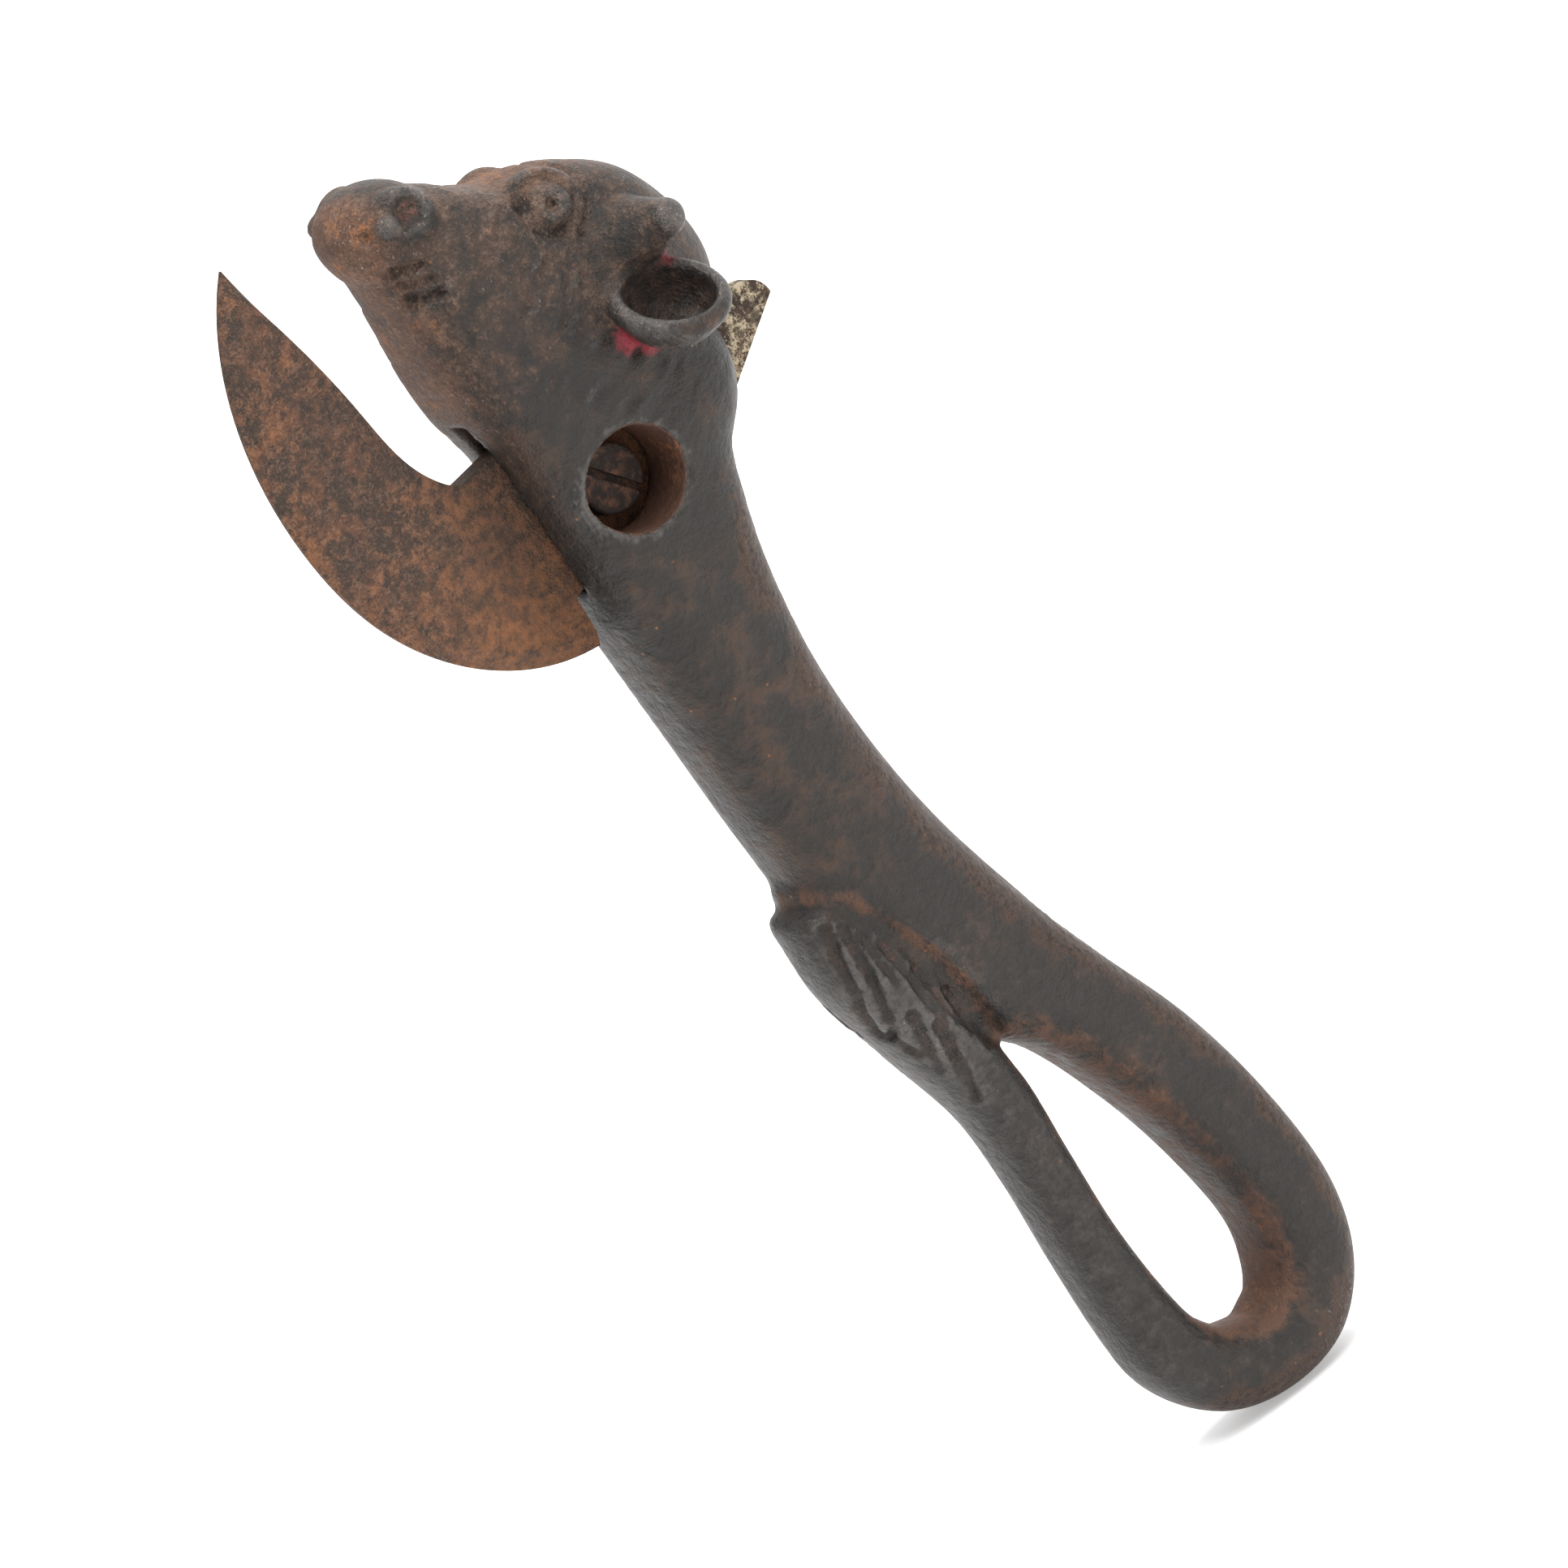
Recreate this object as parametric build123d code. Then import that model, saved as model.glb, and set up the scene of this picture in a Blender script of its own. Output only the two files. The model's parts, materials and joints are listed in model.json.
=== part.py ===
from build123d import *
import os

# Cast-iron bull's-head can opener: one casting, one flat blade through its neck, one clamp screw.
# Upright frame: +Z from the tail loop up to the head, -X towards the muzzle, -Y is the screw side.
# Everything is drawn from the screw's axis (X = 0, Z = 0, along Y) and moved to its place at the end.

# ---- driving dimensions, mm ----
BLADE_THICK = 2.4
BLADE_CLEAR = 0.15          # room between the blade and each wall of its slot
TIP = (-23.6, 41.5)         # the crescent's point
HEEL = (-9.0, -14.1)        # where the cutting edge ends against the front of the neck
BEVEL_WIDE = 1.7            # width of the ground edge on the flat
EDGE_THICK = 0.5            # what is left of the plate at the cutting edge
SCREW_HEAD_R = 3.7
SCREW_HEAD_TALL = 2.6
SCREW_HEAD_ROUND = 0.5      # rounding of the head's outer edge
DRIVER_SLOT = (0.9, 1.1)    # width and depth of the driver slot
DRIVER_SLOT_TURN = 50.0     # the slot's angle to the X axis, degrees
SHANK_R = 2.4
HOLE_CLEAR = 0.06           # running room round the shank, radial
RECESS_R = 5.75             # the sunk well over the screw head
SCREW_END = 6.6             # how far the screw reaches into the far cheek, from the middle plane
HOLE_END = 7.2              # bottom of its hole
CUT_PAST = 20.0             # how far a cut runs out past the surface it opens through
OVERLAP = 0.01              # how far neighbouring cuts and joined bars run into each other

blade_half = BLADE_THICK / 2
slot_half = blade_half + BLADE_CLEAR

# ---- stations of the casting: X, Z, half width in the side view, half thickness in Y ----
NECK = [(2.8, 25.0, 12.2, 9.8), (5.0, 14, 13.4, 9.9), (3.8, 4, 12.4, 9.4), (2.1, -6, 10.3, 9.0),
        (1.3, -16, 8.9, 8.6), (1.3, -28, 8.0, 8.2), (2.2, -40, 8.0, 7.9), (4.2, -52, 8.4, 7.6),
        (8.6, -64, 7.8, 7.1), (14.4, -73.7, 5.9, 6.7), (19.2, -84, 5.6, 6.3), (22.3, -94, 5.4, 6.1),
        (23.9, -104, 5.2, 6.0), (22.7, -110.8, 5.2, 5.9), (19.3, -115.3, 4.9, 5.8), (14.2, -116.7, 4.5, 5.7)]
TAIL = [(14.2, -116.7, 4.5, 5.7), (8.8, -115.4, 4.4, 5.4), (4.9, -111.0, 4.2, 5.2), (3.5, -105.6, 3.8, 5.1),
        (2.8, -96, 3.4, 4.9), (2.6, -86, 3.3, 4.9), (2.1, -77, 3.6, 5.4), (-0.5, -67, 4.2, 6.2),
        (-2.9, -58.6, 4.5, 6.6), (-4.2, -50.4, 3.0, 5.0)]
HEAD = [(4.8, 6.0, 11.6, 9.2), (4.4, 12.0, 14.8, 9.9), (4.2, 17.9, 14.9, 10.3), (1.0, 22.3, 13.5, 10.1),
        (-1.9, 26.4, 11.0, 9.6), (-4.6, 30.6, 8.2, 8.6), (-6.9, 34.6, 6.0, 7.3), (-8.6, 38.0, 3.4, 5.2)]


def ring(x, z, along, half_in, half_across):
    """An elliptical section of the casting at X, Z, square to the direction `along` in the X-Z plane."""
    plane = Plane(origin=(x, 0, z), x_dir=(0, 1, 0), z_dir=(along[0], 0, along[1]))
    return plane * Ellipse(half_across, half_in)


def limb(stations, before=None, after=None):
    """A rounded limb lofted through the stations; `before` and `after` are neighbours past its ends."""
    rings = []
    for i, (x, z, half_in, half_across) in enumerate(stations):
        ahead = stations[i + 1] if i + 1 < len(stations) else after or stations[i]
        behind = stations[i - 1] if i > 0 else before or stations[i]
        rings.append(ring(x, z, (ahead[0] - behind[0], ahead[1] - behind[1]), half_in, half_across))
    return loft(rings)


def ball(place, radii, turn=0.0):
    """An ellipsoid at `place`, turned about Y by `turn` degrees."""
    return Pos(*place) * Rot(0, turn, 0) * scale(Sphere(1), by=radii)


def pair(piece):
    """A piece drawn on the -Y side, and its mirror image."""
    return [piece, mirror(piece, about=Plane.XZ)]


def bar(start, end, radius):
    """A round bar along Y at the screw's axis, between two values of Y."""
    return Pos(0, (start + end) / 2, 0) * Rot(90, 0, 0) * Cylinder(radius, end - start)


def plate(edges, half):
    """A flat plate in the X-Z plane, `half` thick on each side of the middle plane."""
    face = Plane.XZ * make_face(edges)
    return Pos(0, half, 0) * extrude(face, 2 * half)


# ---- the casting ----
def horn():
    root = Plane(origin=(12.0, -5.6, 20.6), z_dir=(0.52, -0.85, 0.10))
    return loft([root * Circle(4.6), root.offset(5.0) * Circle(3.4), root.offset(9.2) * Circle(1.7)])


def ear():
    root = Plane(origin=(12.2, -6.2, 12.0), x_dir=(0.9, 0.2, -0.4), z_dir=(0.16, -0.95, 0.22))
    outside = loft([root * Ellipse(4.6, 3.6), root.offset(4.2) * Ellipse(6.6, 4.9),
                    root.offset(7.2) * Ellipse(6.4, 4.7)])
    hollow = loft([root.offset(4.0) * Ellipse(3.4, 2.0), root.offset(7.5) * Ellipse(5.2, 3.5)])
    return outside - hollow


def face_details():
    brow = ball((12.4, -4.0, 26.2), (6.0, 4.2, 2.6), 28)
    eye = ball((7.4, -8.2, 28.0), (3.2, 1.9, 3.2))
    nostril = ball((-5.2, -6.0, 36.2), (2.6, 2.2, 2.4))
    lip = ball((-9.2, -3.6, 36.0), (3.0, 3.4, 3.6))
    return [brow, eye, nostril, lip]


def blade_slot():
    low_front = (-18, -9.9)
    low_back = (24, -4.2)
    high_back = (24, 14.6)
    high_front = (-18, 12.6)
    return plate(Polyline(low_front, low_back, high_back, high_front, close=True).edges(), slot_half)


def casting():
    body = limb(NECK, after=TAIL[1]) + limb(TAIL, before=NECK[-2])
    body += limb(HEAD)
    for piece in [horn(), ear(), *face_details()]:
        body += pair(piece)
    for nostril_hole in pair(ball((-5.6, -8.0, 37.2), (1.3, 1.2, 1.1))):
        body -= nostril_hole
    body -= blade_slot()
    body -= bar(-CUT_PAST, -slot_half + OVERLAP, RECESS_R)
    body -= bar(0, HOLE_END, SHANK_R + HOLE_CLEAR)
    return body


# ---- the blade: crescent, tongue through the neck, spike behind ----
def blade_outline(inset):
    """The blade's outline, with the cutting edge moved in by `inset` for the top of its bevel."""
    inward = [(0, -1.7), (0.8, -0.6), (0.9, -0.3), (1, 0), (0.9, 0.4), (0.5, 0.9), (0, 1)]
    points = [TIP, (-28.1, 35.0), (-30.6, 28.4), (-31.7, 12.6), (-28.8, 1.4), (-20.0, -9.6), HEEL]
    moved = [(x + inset * ix, z + inset * iz) for (x, z), (ix, iz) in zip(points, inward)]
    inner = Spline(moved[0], (-21.5, 32.3), (-19.0, 21.4), (-17.2, 13.4), (-14.8, 9.5))
    shoulder = Polyline((-14.8, 9.5), (-13.5, 8.5), (-9.4, 8.9), (16.4, 12.3), (23.9, 6.9))
    spike = ThreePointArc((23.9, 6.9), (26.5, 5.6), (26.9, 4.2))
    tongue = Polyline((26.9, 4.2), (15.8, -3.0), (HEEL[0], -8.3), moved[-1])
    return Plane.XZ * make_face([Spline(*moved), inner, *shoulder.edges(), spike, *tongue.edges()])


def blade():
    core = EDGE_THICK / 2
    body = Pos(0, core, 0) * extrude(blade_outline(0), EDGE_THICK)
    for side in (-1, 1):
        root = Pos(0, side * core, 0) * blade_outline(0)
        flat = Pos(0, side * blade_half, 0) * blade_outline(BEVEL_WIDE)
        body += loft([root, flat], ruled=True)
    return body - bar(-CUT_PAST, CUT_PAST, SHANK_R + HOLE_CLEAR)


# ---- the clamp screw ----
def clamp_screw():
    top = -blade_half - SCREW_HEAD_TALL
    head = bar(top, -blade_half, SCREW_HEAD_R)
    rim = head.edges().filter_by(GeomType.CIRCLE).sort_by(Axis.Y)[0]
    body = fillet(rim, SCREW_HEAD_ROUND) + bar(-blade_half - OVERLAP, SCREW_END, SHANK_R)
    width, depth = DRIVER_SLOT
    groove = Pos(0, top + depth / 2, 0) * Rot(0, DRIVER_SLOT_TURN, 0) * Box(CUT_PAST, depth, width)
    return body - groove


# ---- move to the part's own frame: base at Z = 0, box centred in X and Y ----
pieces = {"casting": casting(), "blade": blade(), "clamp_screw": clamp_screw()}
boxes = [piece.bounding_box() for piece in pieces.values()]
low = [min(tuple(b.min)[i] for b in boxes) for i in range(3)]
high = [max(tuple(b.max)[i] for b in boxes) for i in range(3)]
shift = Pos(-(low[0] + high[0]) / 2, -(low[1] + high[1]) / 2, -low[2])
os.makedirs("parts", exist_ok=True)
for name, piece in pieces.items():
    export_step(shift * piece, "parts/" + name + ".step")
print("screw axis at", shift.position)
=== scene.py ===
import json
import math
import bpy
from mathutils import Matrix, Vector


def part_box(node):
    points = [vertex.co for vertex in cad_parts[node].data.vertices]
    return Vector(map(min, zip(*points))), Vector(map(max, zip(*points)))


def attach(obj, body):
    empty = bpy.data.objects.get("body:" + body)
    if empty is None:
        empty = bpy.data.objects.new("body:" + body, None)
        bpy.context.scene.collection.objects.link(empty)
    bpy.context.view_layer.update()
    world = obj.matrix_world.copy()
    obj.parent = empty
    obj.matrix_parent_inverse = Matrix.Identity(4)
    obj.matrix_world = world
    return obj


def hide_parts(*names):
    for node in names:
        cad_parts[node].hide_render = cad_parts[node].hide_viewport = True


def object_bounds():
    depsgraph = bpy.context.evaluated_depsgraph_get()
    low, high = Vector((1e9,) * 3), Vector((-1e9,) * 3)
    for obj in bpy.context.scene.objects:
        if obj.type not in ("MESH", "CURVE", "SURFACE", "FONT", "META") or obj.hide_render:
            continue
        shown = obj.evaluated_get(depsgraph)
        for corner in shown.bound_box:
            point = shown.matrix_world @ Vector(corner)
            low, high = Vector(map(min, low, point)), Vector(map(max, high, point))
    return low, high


bl_info = {
    "name": "Bull's-head can opener",
    "version": (1, 0, 0),
    "blender": (4, 5, 0),
    "location": "View3D > Sidebar > Opener",
    "description": "Sculpts and finishes a cast-iron can opener shaped as a bull",
    "category": "Object",
}

import bpy
import numpy as np
import openvdb
from bpy.props import FloatProperty, FloatVectorProperty, PointerProperty
from mathutils import Matrix, Vector

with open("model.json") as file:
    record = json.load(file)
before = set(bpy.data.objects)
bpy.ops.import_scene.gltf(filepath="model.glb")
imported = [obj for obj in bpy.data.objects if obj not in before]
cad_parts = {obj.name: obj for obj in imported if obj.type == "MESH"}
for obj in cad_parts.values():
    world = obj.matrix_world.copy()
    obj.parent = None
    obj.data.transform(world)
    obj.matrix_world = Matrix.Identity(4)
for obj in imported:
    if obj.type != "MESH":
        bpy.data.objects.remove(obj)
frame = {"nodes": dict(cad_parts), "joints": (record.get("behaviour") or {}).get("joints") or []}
CAD_BOX = [list(corner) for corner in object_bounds()]
HINGE = next(joint for joint in frame["joints"] if joint["name"] == "blade_swing")
AXIS = Vector(HINGE["pos_m"])   # the clamp screw's axis: the sculpt is measured from here, in mm
MM = 0.001
FAR = 30.0       # mm from any surface, before anything is modelled
MARGIN = 3.6     # mm of clay kept round the casting's box


# ---- a block of clay: distances to the surface on a grid, in mm, negative inside ----
class Clay:
    """Both sides of the casting are worked at once: `y` runs from the middle plane towards -Y."""

    def __init__(self, low, high, pitch):
        self.low, self.pitch = np.array(low, np.float32), pitch
        counts = [int((b - a) / pitch) + 1 for a, b in zip(low, high)]
        x, y, z = [a + pitch * np.arange(n, dtype=np.float32) for a, n in zip(low, counts)]
        self.x, self.y, self.z = x[:, None, None], -np.abs(y)[None, :, None], z[None, None, :]
        self.side = y[None, :, None]
        self.depth = np.full(counts, FAR, np.float32)

    def window(self, place, reach):
        """Slices round a place and its mirror image, and their coordinates from that place."""
        spans = []
        for axis, middle in ((self.x, place[0]), (self.side, 0.0), (self.z, place[2])):
            values = axis.ravel()
            width = abs(place[1]) + reach if axis is self.side else reach
            first, last = np.searchsorted(values, (middle - width, middle + width))
            spans.append(slice(first, last))
        x = self.x[spans[0]] - place[0]
        y = self.y[:, spans[1]] - place[1]
        z = self.z[:, :, spans[2]] - place[2]
        return tuple(spans), x, y, z

    def skin(self, x, z):
        """The point of the -Y side's surface at X, Z, and its outward direction."""
        i, k = (int(round((v - low) / self.pitch)) for v, low in ((x, self.low[0]), (z, self.low[2])))
        column, side = self.depth[i, :, k], self.side.ravel()
        inside = np.flatnonzero(column < 0)
        if inside.size:
            j = inside[0]
            y = side[j] - self.pitch * column[j] / (column[j] - column[j - 1])
        else:
            j = column.argmin()
            y = side[j]
        out = np.array((self.depth[i + 1, j, k] - self.depth[i - 1, j, k],
                        self.depth[i, j + 1, k] - self.depth[i, j - 1, k],
                        self.depth[i, j, k + 1] - self.depth[i, j, k - 1]))
        return np.array((x, y, z)), out / np.linalg.norm(out)

    def add(self, shape, soft=0.6, span=...):
        """Join a shape on, with a fillet of about `soft`."""
        a = self.depth[span]
        mix = np.clip(0.5 + 0.5 * (shape - a) / soft, 0, 1)
        self.depth[span] = shape * (1 - mix) + a * mix - soft * mix * (1 - mix)

    def carve(self, shape, soft=0.4, span=...):
        """Cut a shape away, with its rim rounded by about `soft`."""
        a = -self.depth[span]
        mix = np.clip(0.5 + 0.5 * (shape - a) / soft, 0, 1)
        self.depth[span] = -(shape * (1 - mix) + a * mix - soft * mix * (1 - mix))


def smooth_path(points, steps=12):
    """A Catmull-Rom curve through points of any width."""
    p = np.array(points, np.float32)
    p = np.vstack([2 * p[0] - p[1], p, 2 * p[-1] - p[-2]])
    t = np.linspace(0, 1, steps, endpoint=False, dtype=np.float32)[:, None]
    parts = []
    for a, b, c, d in zip(p, p[1:], p[2:], p[3:]):
        parts.append(0.5 * (2 * b + (c - a) * t + (2 * a - 5 * b + 4 * c - d) * t ** 2
                            + (3 * b - a - 3 * c + d) * t ** 3))
    return np.vstack(parts + [p[-2:-1]])


def limb(clay, stations):
    """A limb through stations of X, Z, half width in the side view, half thickness, and squareness."""
    path = smooth_path(stations)
    along = np.gradient(path[:, :2], axis=0)
    along /= np.linalg.norm(along, axis=1)[:, None]
    x, z = clay.x[:, 0, 0], clay.z[0, 0]
    dx, dz = x[:, None, None] - path[:, 0], z[None, :, None] - path[:, 1]
    nearest = (dx ** 2 + dz ** 2).argmin(axis=2)
    off = np.take_along_axis(np.sqrt(dx ** 2 + dz ** 2), nearest[..., None], axis=2)[..., 0]
    half_in, half_across, square = (path[:, i][nearest][:, None, :] for i in (2, 3, 4))
    u, v = np.maximum(off[:, None, :], 1e-3) / half_in, np.maximum(-clay.y, 1e-3) / half_across
    size = (u ** square + v ** square) ** (1 / square)
    slope = np.sqrt((u ** (square - 1) / half_in) ** 2 + (v ** (square - 1) / half_across) ** 2)
    return (size - 1) * size ** (square - 1) / slope


def turned(x, y, z, axes):
    """Coordinates along three given directions."""
    return [a[0] * x + a[1] * y + a[2] * z for a in axes]


def frame_of(out, across):
    """Three directions: `across`, square to both, and `out`."""
    out = np.array(out, np.float32) / np.linalg.norm(out)
    across = np.array(across, np.float32)
    across -= out * across.dot(out)
    across /= np.linalg.norm(across)
    return across, np.cross(out, across), out


UPRIGHT = np.eye(3, dtype=np.float32)


def egg(clay, place, radii, axes=UPRIGHT, margin=3.0):
    """An ellipsoid: its window, and its distance."""
    span, x, y, z = clay.window(place, max(radii) + margin)
    p = turned(x, y, z, axes)
    size = np.sqrt(sum((a / r) ** 2 for a, r in zip(p, radii)))
    slope = np.sqrt(sum((a / r ** 2) ** 2 for a, r in zip(p, radii)))
    return span, size * (size - 1) / np.maximum(slope, 1e-4)


def rod(clay, points, radii, margin=2.5):
    """A round rod along points, its radius running from the first value to the last."""
    points = np.array(points, np.float32)
    middle = (points.min(axis=0) + points.max(axis=0)) / 2
    reach = np.abs(points - middle).max() + max(radii) + margin
    span, x, y, z = clay.window(middle, reach)
    best = None
    share = np.linspace(0, 1, len(points))
    for i, (a, b) in enumerate(zip(points - middle, points[1:] - middle)):
        d = b - a
        t = np.clip(((x - a[0]) * d[0] + (y - a[1]) * d[1] + (z - a[2]) * d[2]) / d.dot(d), 0, 1)
        gap = np.sqrt((x - a[0] - t * d[0]) ** 2 + (y - a[1] - t * d[1]) ** 2 + (z - a[2] - t * d[2]) ** 2)
        along = share[i] + t * (share[i + 1] - share[i])
        here = gap - (radii[0] + (radii[1] - radii[0]) * along)
        best = here if best is None else np.minimum(best, here)
    return span, best


# ---- the casting's stations, mm from the screw's axis ----
NECK = [(4.6, 15, 13.2, 9.9, 3.2), (3.4, 4, 12.2, 9.4, 3.2),
        (2.1, -6, 10.3, 9.0, 3.0), (1.3, -16, 8.9, 8.6, 2.8), (1.3, -28, 8.0, 8.2, 2.6),
        (2.2, -40, 8.0, 7.9, 2.5), (4.2, -52, 8.4, 7.6, 2.4), (8.6, -64, 7.8, 7.1, 2.5),
        (14.4, -73.7, 5.8, 6.7, 2.7), (19.2, -84, 5.6, 6.3, 2.8), (22.3, -94, 5.4, 6.1, 2.8),
        (23.9, -104, 5.2, 6.0, 2.7), (22.7, -110.8, 5.2, 5.9, 2.6), (19.3, -115.3, 4.9, 5.8, 2.5),
        (14.2, -116.7, 4.5, 5.7, 2.4), (8.8, -115.4, 4.4, 5.4, 2.4)]
TAIL = [(19.3, -115.3, 4.9, 5.8, 2.5), (14.2, -116.7, 4.5, 5.7, 2.4), (8.8, -115.4, 4.4, 5.4, 2.4),
        (4.9, -111.0, 4.2, 5.2, 2.4), (3.5, -105.6, 3.8, 5.1, 2.4), (2.7, -96, 3.3, 4.9, 2.4),
        (2.6, -86, 3.2, 4.9, 2.4), (2.1, -77, 3.6, 5.4, 2.3), (-0.5, -67, 4.2, 6.5, 2.3),
        (-2.9, -58.6, 4.5, 7.0, 2.3), (-4.1, -50.8, 4.1, 5.6, 2.2)]
HEAD = [(7.6, 5.0, 10.8, 9.4, 3.0), (5.0, 11.3, 13.2, 10.1, 3.3), (2.2, 17.2, 13.2, 10.4, 3.2),
        (0.1, 21.7, 11.9, 10.2, 3.0), (-1.9, 26.0, 9.9, 9.6, 2.8), (-4.1, 30.2, 7.8, 8.6, 2.6),
        (-6.5, 34.0, 5.6, 7.2, 2.3)]
TUFT_EDGE = [(-8.1, -46.3), (-3.1, -50.0), (0.5, -56.1), (2.95, -62.7), (4.3, -69.0), (4.6, -73.4)]
LOCKS = [[(-6.2, -51), (-6.7, -55), (-6.7, -59), (-5.7, -64), (-3.8, -68)],
         [(-4.7, -52), (-5.2, -57), (-5.4, -61), (-4.9, -65)],
         [(-3.4, -53.5), (-3.5, -56), (-3.3, -59)],
         [(-2.0, -55.5), (-1.8, -58), (-1.2, -61)],
         [(0.0, -59.5), (0.3, -62.5), (0.7, -65.5), (1.8, -68.5)],
         [(-3.4, -63.5), (-3.3, -67), (-2.9, -70.5)],
         [(-1.5, -66), (-1.4, -70), (-1.0, -75)],
         [(-1.2, -60.5), (-1.1, -63), (-0.5, -66)],
         [(1.8, -64), (2.1, -67), (2.5, -71)]]
FACE_OUT = (-0.40, -0.87, 0.29)
FACE_ACROSS = (0.71, -0.50, -0.49)
EAR_OUT = (0.13, -0.60, 0.79)
EAR_ACROSS = (0.71, -0.50, -0.49)
EAR_PLACE = (11.2, -13.2, 14.2)
HORN = [(11.0, -4.6, 20.3), (15.6, -12.7, 21.0)]
HORN_RADII = (6.2, 2.1)
NOSTRIL = (-6.0, 36.4)
EYE = (7.5, 28.2)
EYE_FOLDS = ((3.0, 0, 360, 0.75), (4.7, -35, 120, 0.55))   # radius, first and last angle, groove's radius
WRINKLE = [(-10.1, 31.9), (-9.0, 31.6), (-7.6, 31.3)]
WRINKLE_DROPS = (0.0, 1.75, 3.4)
SLOT_FRONT, SLOT_LENGTH = -18.0, 42.0    # where the blade's slot begins along X, and how far it runs
SLOT_LOW, SLOT_LOW_RISE = -9.9, 5.7      # its lower edge there, and how far that climbs to the back
SLOT_HIGH, SLOT_HIGH_RISE = 12.6, 2.0    # the same of its upper edge
HOLE_RADIUS, HOLE_END = 2.5, 7.2         # the screw's hole in the far cheek


def skin_line(clay, path, lift=0.0):
    """Points of X, Z laid on the -Y surface."""
    return [place + lift * out for place, out in (clay.skin(x, z) for x, z in path)]


def model_skull(clay):
    """The head's mass, before its hide and features."""
    clay.add(limb(clay, HEAD), 1.2)
    span, shape = egg(clay, (12.0, 0.0, 18.2), (9.8, 9.7, 9.3))
    clay.add(shape, 2.5, span)
    # the brow over the eye, and the forehead
    span, shape = egg(clay, (10.8, 0.0, 26.9), (7.8, 6.6, 3.5), frame_of((0.5, 0, 0.87), (0.87, 0, -0.5)))
    clay.add(shape, 2.0, span)
    span, shape = egg(clay, (13.2, -4.0, 24.8), (5.6, 4.2, 3.2), frame_of((0.5, -0.3, 0.8), (0.8, 0, -0.5)))
    clay.add(shape, 2.5, span)
    # the blunt muzzle, and the dip between it and the brow
    span, shape = egg(clay, (-7.3, 0.0, 35.6), (4.9, 7.0, 3.7))
    clay.add(shape, 1.6, span)
    # the poll, between the horns and the ears
    span, shape = egg(clay, (16.6, 0.0, 13.6), (6.1, 7.4, 7.0))
    clay.add(shape, 2.5, span)
    span, shape = rod(clay, [(3.2, -7.5, 36.4), (3.2, 7.5, 36.4)], (1.7, 1.7))
    clay.carve(shape, 2.0, span)


def model_face(clay):
    """Nostrils, wrinkles, eyes, horns and ears, on both sides."""
    model_nostril(clay)
    # wrinkles at the corner of the mouth
    for drop in WRINKLE_DROPS:
        groove = skin_line(clay, [(x, z - drop) for x, z in WRINKLE])
        span, shape = rod(clay, groove, (0.75, 0.6))
        clay.carve(shape, 0.3, span)
    model_eye(clay)
    # the horn, a blunt cone
    span, shape = rod(clay, HORN, HORN_RADII)
    clay.add(shape, 0.6, span)
    model_ear(clay)


def model_nostril(clay):
    """A raised ring round a shallow hole, with a bump and a dimple in front of it."""
    place, out = clay.skin(*NOSTRIL)
    axes = frame_of(out + np.array(FACE_OUT), FACE_ACROSS)
    out = axes[2]
    span, shape = egg(clay, place - out * 0.5, (3.1, 3.0, 1.7), axes)
    clay.add(shape, 1.0, span)
    span, shape = egg(clay, place + out * 1.5, (1.9, 1.9, 1.5), axes)
    clay.carve(shape, 0.4, span)
    place, out = clay.skin(-8.7, 36.5)
    span, shape = egg(clay, place - out * 0.3, (1.3, 1.3, 1.2))
    clay.add(shape, 0.8, span)
    place, out = clay.skin(-10.5, 36.4)
    span, shape = egg(clay, place, (0.75, 0.75, 0.75))
    clay.carve(shape, 0.4, span)


def arc(place, axes, radius, start, stop):
    """Points on an arc in a plane through a place; angles in degrees from `across` towards `up`."""
    across, up, _ = axes
    turn = np.radians(np.linspace(start, stop, 24))
    return [place + radius * (across * math.cos(a) + up * math.sin(a)) for a in turn]


def model_eye(clay):
    """A round boss with a drilled pupil, a groove round it and a fold of the lid over it."""
    place, out = clay.skin(*EYE)
    axes = frame_of(out + 2 * np.array(FACE_OUT), FACE_ACROSS)
    out = axes[2]
    span, shape = egg(clay, place - out * 1.1, (4.5, 4.2, 2.5), axes)
    clay.add(shape, 1.0, span)
    for radius, start, stop, wide in EYE_FOLDS:
        fold = skin_line(clay, [(p[0], p[2]) for p in arc(place, axes, radius, start, stop)], 0.15)
        span, shape = rod(clay, fold, (wide, wide))
        clay.carve(shape, 0.3, span)
    pupil, out = clay.skin(place[0], place[2])
    span, shape = egg(clay, pupil - out * 0.6, (2.2, 2.1, 1.2), axes)
    clay.add(shape, 0.5, span)
    span, shape = egg(clay, pupil + out * 0.6, (0.75, 0.75, 0.9), axes)
    clay.carve(shape, 0.3, span)


def model_ear(clay):
    place = np.array(EAR_PLACE, np.float32)
    across, up, out = axes = frame_of(EAR_OUT, EAR_ACROSS)
    span, shape = egg(clay, place - out * 0.4, (5.7, 5.2, 4.4), axes)
    flat = turned(clay.x[span[0]] - place[0], clay.y[:, span[1]] - place[1],
                  clay.z[:, :, span[2]] - place[2], axes)[2]
    clay.add(np.maximum(shape, flat), 1.6, span)
    turn = np.linspace(0, 2 * math.pi, 33)
    rim = [place + 5.1 * across * math.cos(a) + 4.3 * up * math.sin(a) for a in turn]
    span, shape = rod(clay, rim, (1.2, 1.2))
    clay.add(shape, 0.9, span)
    span, shape = egg(clay, place + out * 0.5, (4.7, 3.9, 4.8), axes)
    clay.carve(shape, 0.8, span)


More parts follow.
